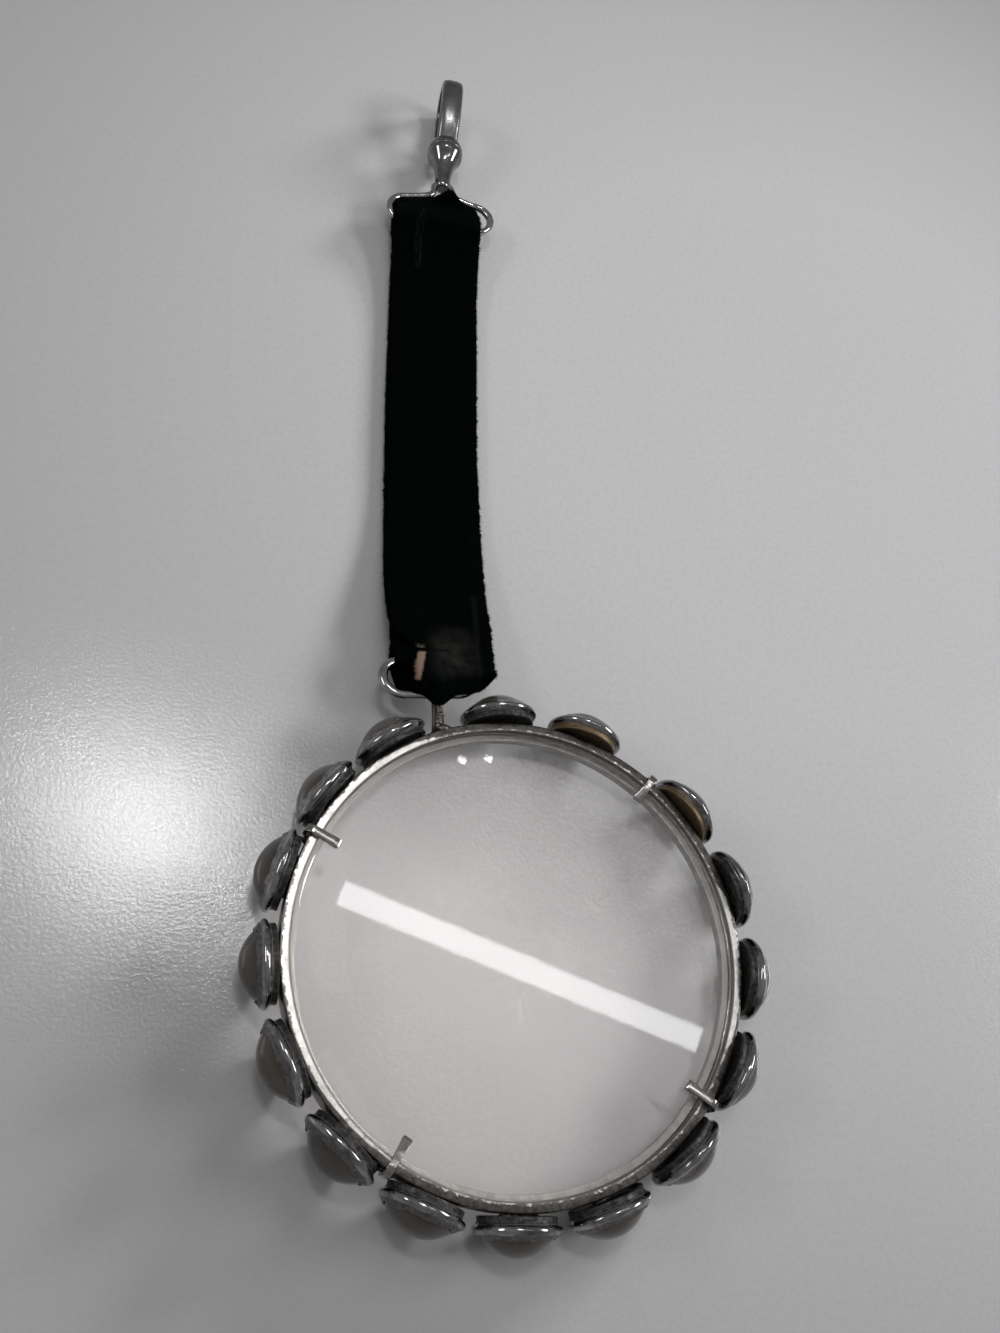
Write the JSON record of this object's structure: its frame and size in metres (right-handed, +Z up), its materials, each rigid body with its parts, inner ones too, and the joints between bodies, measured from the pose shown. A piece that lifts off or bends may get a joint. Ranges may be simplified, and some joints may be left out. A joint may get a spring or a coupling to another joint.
{
  "type": "chatelaine magnifying glass",
  "caption": "Round magnifying lens in a silver rim of domed stones, hung by an open link from a doubled ribbon with a wire stirrup and a swivel snap hook.",
  "frame": {"origin": "under the middle of the whole object, on the table it lies on", "axes": "+Y along the ribbon from the lens to the hook, +Z up out of the lens's flat front face, +X across the ribbon"},
  "size_m": [0.0574, 0.1596, 0.0088],
  "materials": {
    "ring_silver": "worn silver with rough solder",
    "setting_silver": "polished silver, darkened in the grooves",
    "polished_steel": "polished plated wire",
    "dark_steel": "smooth dark plating",
    "lens_glass": "clear polished glass",
    "stone": "glossy taupe-grey stone",
    "velvet": "dark velvet ribbon, worn at one end"
  },
  "bodies": {
    "lens_frame": {"lens_ring": "ring_silver", "lens": "lens_glass", "frame_eye": "ring_silver", "claw_1": "ring_silver", "claw_2": "ring_silver", "claw_3": "ring_silver", "claw_4": "ring_silver", "collet_01": "setting_silver", "collet_02": "setting_silver", "collet_03": "setting_silver", "collet_04": "setting_silver", "collet_05": "setting_silver", "collet_06": "setting_silver", "collet_07": "setting_silver", "collet_08": "setting_silver", "collet_09": "setting_silver", "collet_10": "setting_silver", "collet_11": "setting_silver", "collet_12": "setting_silver", "collet_13": "setting_silver", "collet_14": "setting_silver", "collet_15": "setting_silver", "collet_16": "setting_silver", "cabochon_01": "stone", "cabochon_02": "stone", "cabochon_03": "stone", "cabochon_04": "stone", "cabochon_05": "stone", "cabochon_06": "stone", "cabochon_07": "stone", "cabochon_08": "stone", "cabochon_09": "stone", "cabochon_10": "stone", "cabochon_11": "stone", "cabochon_12": "stone", "cabochon_13": "stone", "cabochon_14": "stone", "cabochon_15": "stone", "cabochon_16": "stone"},
    "link": {"open_link": "polished_steel"},
    "strap": {"ribbon_strap": "velvet"},
    "stirrup": {"stirrup_wire": "polished_steel", "swivel_shank": "polished_steel"},
    "hook": {"hook_body": "dark_steel", "gate_pin": "polished_steel", "gate_spring": "polished_steel"},
    "gate": {"hook_gate": "dark_steel"}
  },
  "joints": [
    {"name": "link_pitch", "type": "hinge", "parent": "lens_frame", "child": "link", "pos_m": [-0.00942, -0.02294, 0.0044], "axis": [1, 0, 0], "range_deg": [-80, 80]},
    {"name": "strap_swing", "type": "hinge", "parent": "link", "child": "strap", "pos_m": [-0.00942, -0.01829, 0.00375], "axis": [1, 0, 0], "range_deg": [-90, 90]},
    {"name": "stirrup_swing", "type": "hinge", "parent": "strap", "child": "stirrup", "pos_m": [-0.00705, 0.05189, 0.0029], "axis": [0.9981, 0.061, 0.0015], "range_deg": [-120, 120]},
    {"name": "hook_swivel", "type": "hinge", "parent": "stirrup", "child": "hook", "pos_m": [-0.00655, 0.06615, 0.00326], "axis": [0.0663, 0.9975, 0.0249], "continuous": true},
    {"name": "gate_open", "type": "hinge", "parent": "hook", "child": "gate", "pos_m": [-0.00616, 0.07024, 0.00096], "axis": [0.9964, -0.0675, 0.0507], "range_deg": [0, 24], "stiffness_Nm_per_rad": 0.02, "springref_deg": -17.19, "deforming": ["gate_spring"]}
  ]
}
